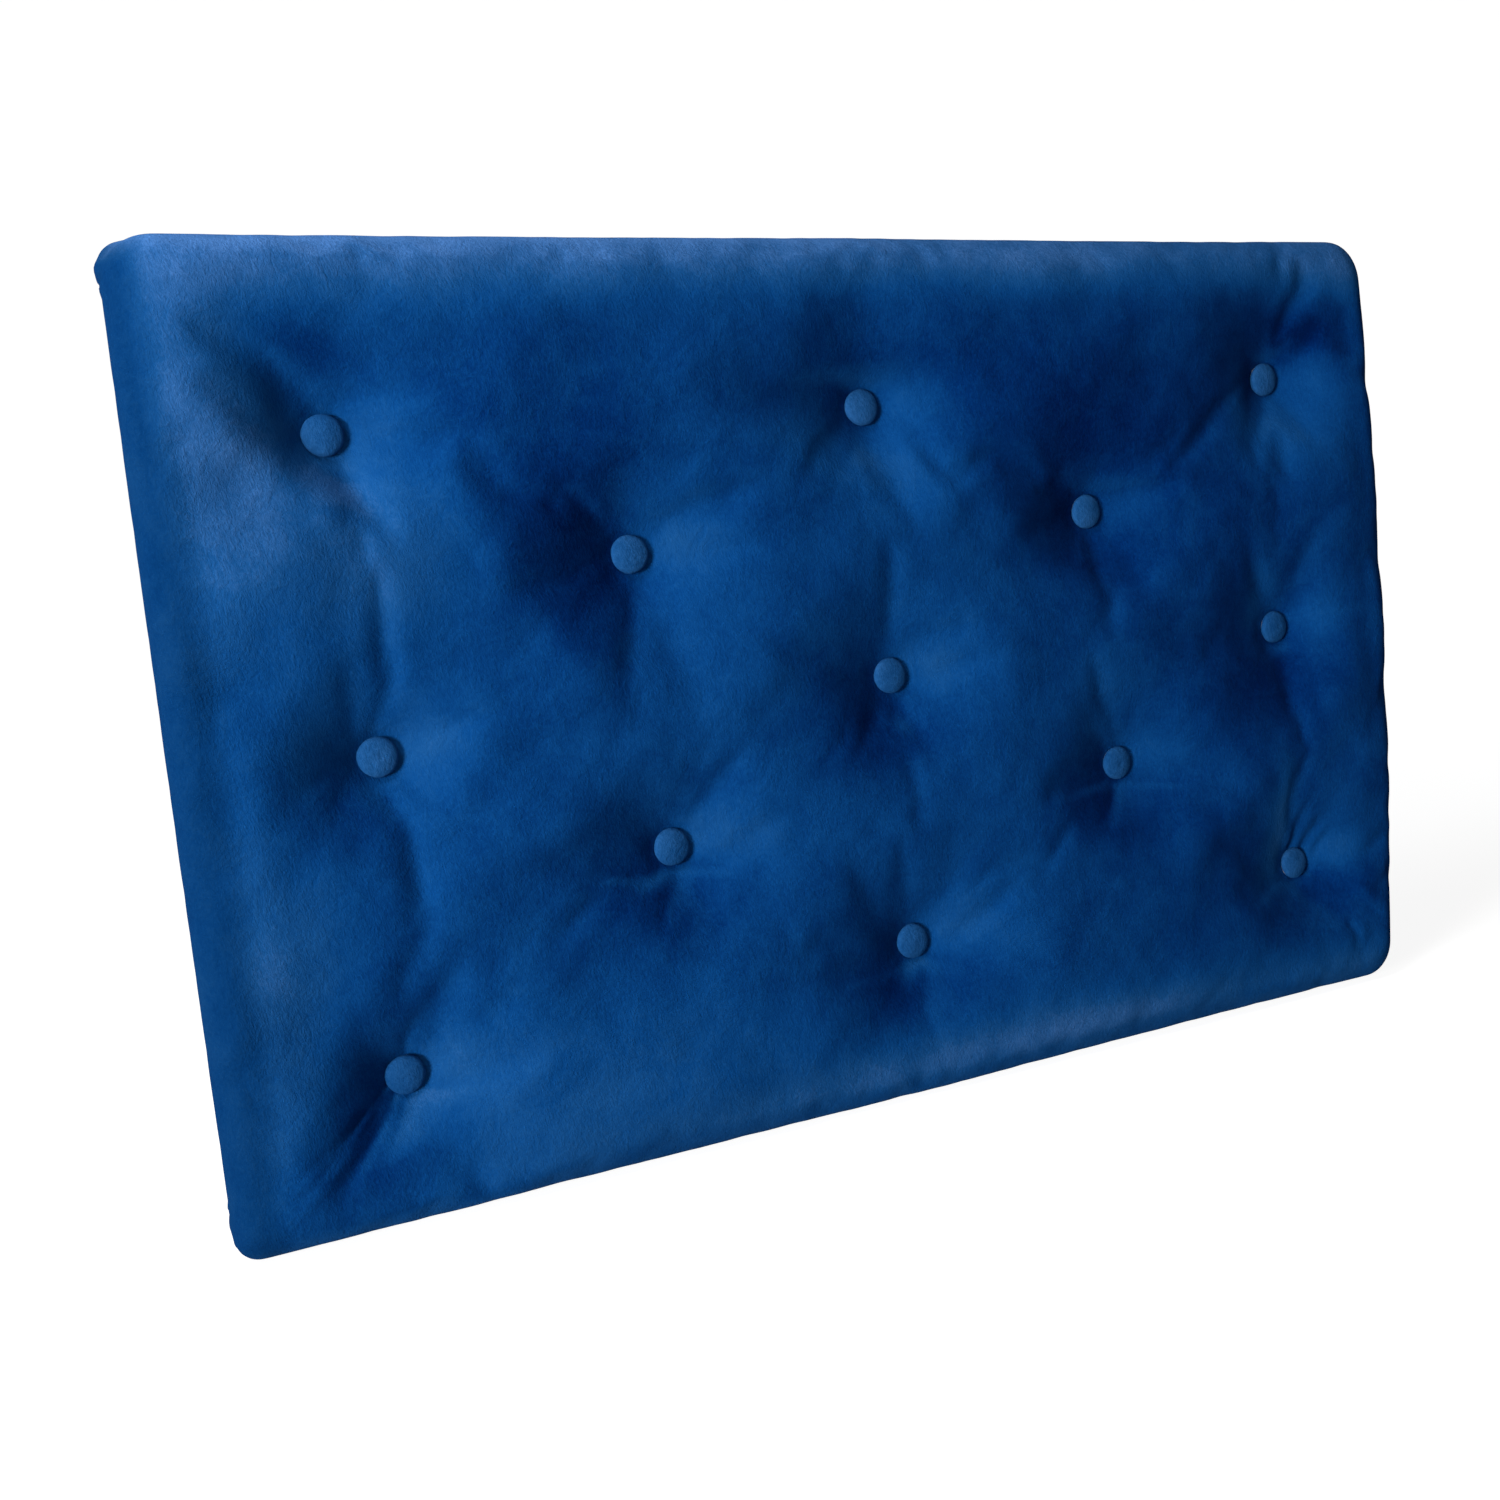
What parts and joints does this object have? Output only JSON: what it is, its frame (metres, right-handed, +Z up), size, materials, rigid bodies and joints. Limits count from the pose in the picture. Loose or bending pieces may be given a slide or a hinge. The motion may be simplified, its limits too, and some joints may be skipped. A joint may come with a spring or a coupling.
{
  "type": "headboard",
  "caption": "Wall-side headboard panel for a single bed: a batten frame and face board padded with foam and wadding, covered in navy velvet and button tufted in a diamond layout, with bolt nuts in its back.",
  "frame": {"origin": "middle of the frame's width and of the depth, on the flat line that the lower edge rests on", "axes": "+X to the right as seen from the padded face, +Y towards the wall, +Z up"},
  "size_m": [0.9439, 0.066, 0.6054],
  "materials": {
    "navy_velvet": "matte",
    "wadding": "matte",
    "foam": "matte",
    "hardboard": "matte",
    "pine": "matte",
    "dust_cloth": "matte",
    "zinc_steel": "satin",
    "staple_wire": "satin",
    "button_shell": "satin",
    "twine": "matte"
  },
  "bodies": {
    "root": {"bottom_rail": "pine", "button_core_01": "button_shell", "button_core_02": "button_shell", "button_core_03": "button_shell", "button_core_04": "button_shell", "button_core_05": "button_shell", "button_core_06": "button_shell", "button_core_07": "button_shell", "button_core_08": "button_shell", "button_core_09": "button_shell", "button_core_10": "button_shell", "button_core_11": "button_shell", "button_core_12": "button_shell", "button_core_13": "button_shell", "cover_staples": "staple_wire", "dust_cover": "dust_cloth", "dust_cover_staples": "staple_wire", "face_board": "hardboard", "face_board_staples": "staple_wire", "foam_pad": "foam", "frame_screws": "zinc_steel", "left_stile": "pine", "left_upright": "pine", "right_stile": "pine", "right_upright": "pine", "tee_nuts": "zinc_steel", "top_rail": "pine", "tufting_button_01": "navy_velvet", "tufting_button_02": "navy_velvet", "tufting_button_03": "navy_velvet", "tufting_button_04": "navy_velvet", "tufting_button_05": "navy_velvet", "tufting_button_06": "navy_velvet", "tufting_button_07": "navy_velvet", "tufting_button_08": "navy_velvet", "tufting_button_09": "navy_velvet", "tufting_button_10": "navy_velvet", "tufting_button_11": "navy_velvet", "tufting_button_12": "navy_velvet", "tufting_button_13": "navy_velvet", "tufting_twine_01": "twine", "tufting_twine_02": "twine", "tufting_twine_03": "twine", "tufting_twine_04": "twine", "tufting_twine_05": "twine", "tufting_twine_06": "twine", "tufting_twine_07": "twine", "tufting_twine_08": "twine", "tufting_twine_09": "twine", "tufting_twine_10": "twine", "tufting_twine_11": "twine", "tufting_twine_12": "twine", "tufting_twine_13": "twine", "twine_staples": "staple_wire", "velvet_cover": "navy_velvet", "wadding_layer": "wadding"}
  },
  "joints": []
}
